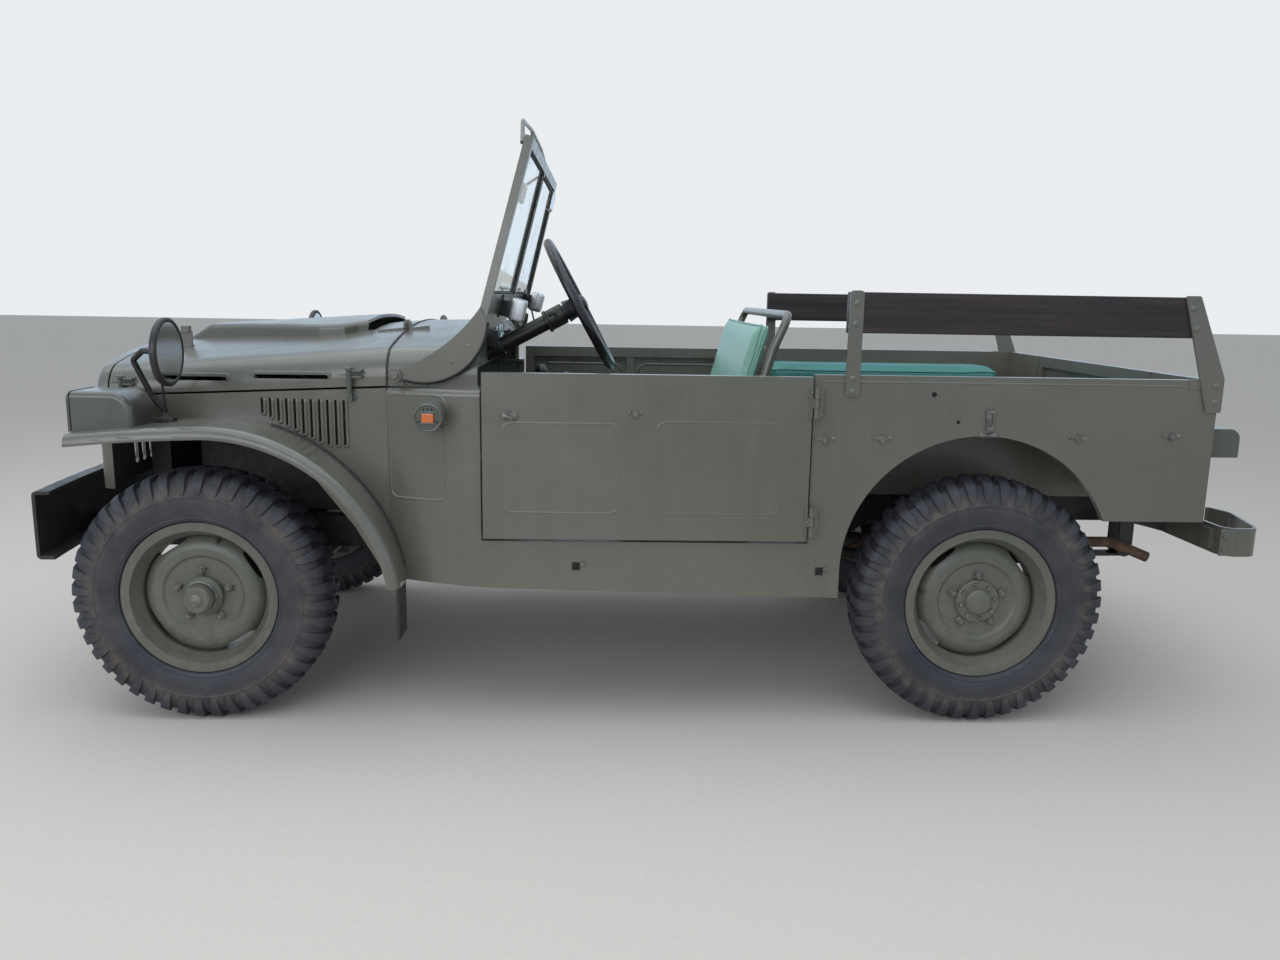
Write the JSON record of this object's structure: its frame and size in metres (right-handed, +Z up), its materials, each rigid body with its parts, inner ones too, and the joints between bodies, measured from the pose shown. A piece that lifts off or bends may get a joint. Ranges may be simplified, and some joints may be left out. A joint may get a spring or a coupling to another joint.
{
  "type": "open four-wheel-drive army car",
  "caption": "Unarmed open army car with fold-flat windscreen, rear-hinged doors, side benches, opening bonnet and tailgate, and steered front wheels.",
  "frame": {"origin": "on the ground below the middle of the overall length and width", "axes": "+X forward, +Y to the left side of the car, +Z up"},
  "size_m": [3.6399, 1.5857, 1.7433],
  "materials": {
    "body_paint": "satin grey-olive paint with light dust and worn edges",
    "wheel_paint": "satin grey-olive paint",
    "lamp_paint": "satin paint with amber and red lenses",
    "tyre_rubber": "worn matt rubber",
    "black_rubber": "matt rubber",
    "clear_glass": "clear polished glass",
    "green_vinyl": "smooth pale green vinyl with piping",
    "dark_wood": "dark stained planed board",
    "rusty_steel": "brown rusted pipe",
    "grey_casting": "oily cast surface",
    "chassis_black": "worn semi-matt black",
    "black_plastic": "smooth black rim"
  },
  "bodies": {
    "chassis": {"body_floor": "body_paint", "cowl_sides": "body_paint", "engine": "grey_casting", "engine_sides": "body_paint", "exhaust": "rusty_steel", "frame": "chassis_black", "front_axle_drive": "chassis_black", "front_bench_backrest": "green_vinyl", "front_bench_cushion": "green_vinyl", "front_bench_frame": "body_paint", "front_bumper": "body_paint", "front_suspension": "chassis_black", "headlamp_glass": "clear_glass", "headlamps": "body_paint", "mirrors": "body_paint", "mud_flaps": "black_rubber", "nose_panel": "body_paint", "radiator": "grey_casting", "rear_axle": "chassis_black", "rear_bumper": "body_paint", "rear_panel": "body_paint", "rear_sides": "body_paint", "rear_springs": "chassis_black", "scuttle": "body_paint", "side_bench_cushions": "green_vinyl", "side_bench_rails": "dark_wood", "small_lamps": "lamp_paint", "steering_column": "body_paint", "tow_hitch": "body_paint", "transmission": "grey_casting", "wheel_boxes": "body_paint", "wings": "body_paint"},
    "knuckle_front_left": {"front_knuckle_left": "chassis_black"},
    "knuckle_front_right": {"front_knuckle_right": "chassis_black"},
    "wheel_front_left": {"wheel_front_left": "wheel_paint", "tyre_front_left": "tyre_rubber"},
    "wheel_front_right": {"wheel_front_right": "wheel_paint", "tyre_front_right": "tyre_rubber"},
    "wheel_rear_left": {"wheel_rear_left": "wheel_paint", "tyre_rear_left": "tyre_rubber"},
    "wheel_rear_right": {"wheel_rear_right": "wheel_paint", "tyre_rear_right": "tyre_rubber"},
    "track_rod": {"track_rod": "chassis_black"},
    "steering_wheel": {"steering_wheel": "black_plastic"},
    "door_left": {"door_left": "body_paint"},
    "door_right": {"door_right": "body_paint"},
    "tailgate": {"tailgate": "body_paint"},
    "bonnet": {"bonnet": "body_paint"},
    "windscreen": {"windscreen_frame": "body_paint", "windscreen_glass": "clear_glass"}
  },
  "joints": [
    {"name": "steer_left", "type": "hinge", "parent": "chassis", "child": "knuckle_front_left", "pos_m": [1.33, 0.528, 0.368], "axis": [0, 0, 1], "range_deg": [-30, 30]},
    {"name": "steer_right", "type": "hinge", "parent": "chassis", "child": "knuckle_front_right", "pos_m": [1.33, -0.528, 0.368], "axis": [0, 0, 1], "range_deg": [-31, 31]},
    {"name": "steering_wheel_turn", "type": "hinge", "parent": "chassis", "child": "steering_wheel", "pos_m": [0.262, 0.37, 1.206], "axis": [-0.8829, 0, 0.4695], "range_deg": [-485, 485]},
    {"name": "track_rod_slide", "type": "slide", "parent": "chassis", "child": "track_rod", "axis": [0, -1, 0], "range_m": [-0.08, 0.08]},
    {"name": "wheel_spin_front_left", "type": "hinge", "parent": "knuckle_front_left", "child": "wheel_front_left", "pos_m": [1.33, 0.628, 0.368], "axis": [0, 1, 0], "continuous": true},
    {"name": "wheel_spin_front_right", "type": "hinge", "parent": "knuckle_front_right", "child": "wheel_front_right", "pos_m": [1.33, -0.628, 0.368], "axis": [0, 1, 0], "continuous": true},
    {"name": "wheel_spin_rear_left", "type": "hinge", "parent": "chassis", "child": "wheel_rear_left", "pos_m": [-0.92, 0.628, 0.368], "axis": [0, 1, 0], "continuous": true},
    {"name": "wheel_spin_rear_right", "type": "hinge", "parent": "chassis", "child": "wheel_rear_right", "pos_m": [-0.92, -0.628, 0.368], "axis": [0, 1, 0], "continuous": true},
    {"name": "door_left_hinge", "type": "hinge", "parent": "chassis", "child": "door_left", "pos_m": [-0.401, 0.752, 0.785], "axis": [0, 0, 1], "range_deg": [0, 85]},
    {"name": "door_right_hinge", "type": "hinge", "parent": "chassis", "child": "door_right", "pos_m": [-0.401, -0.752, 0.785], "axis": [0, 0, -1], "range_deg": [0, 85]},
    {"name": "tailgate_hinge", "type": "hinge", "parent": "chassis", "child": "tailgate", "pos_m": [-1.546, 0, 0.638], "axis": [0, -1, 0], "range_deg": [0, 90]},
    {"name": "bonnet_hinge", "type": "hinge", "parent": "chassis", "child": "bonnet", "pos_m": [0.792, 0, 1.14414], "axis": [0, -1, 0], "range_deg": [0, 60]},
    {"name": "windscreen_fold", "type": "hinge", "parent": "chassis", "child": "windscreen", "pos_m": [0.763, 0, 1.008], "axis": [0, -1, 0], "range_deg": [-108, 0]}
  ],
  "couplings": [
    {"joint": "steer_right", "follows": "steer_left", "ratio": 1},
    {"joint": "steering_wheel_turn", "follows": "steer_left", "ratio": 16},
    {"joint": "track_rod_slide", "follows": "steer_left", "m_per_rad": 0.15}
  ]
}
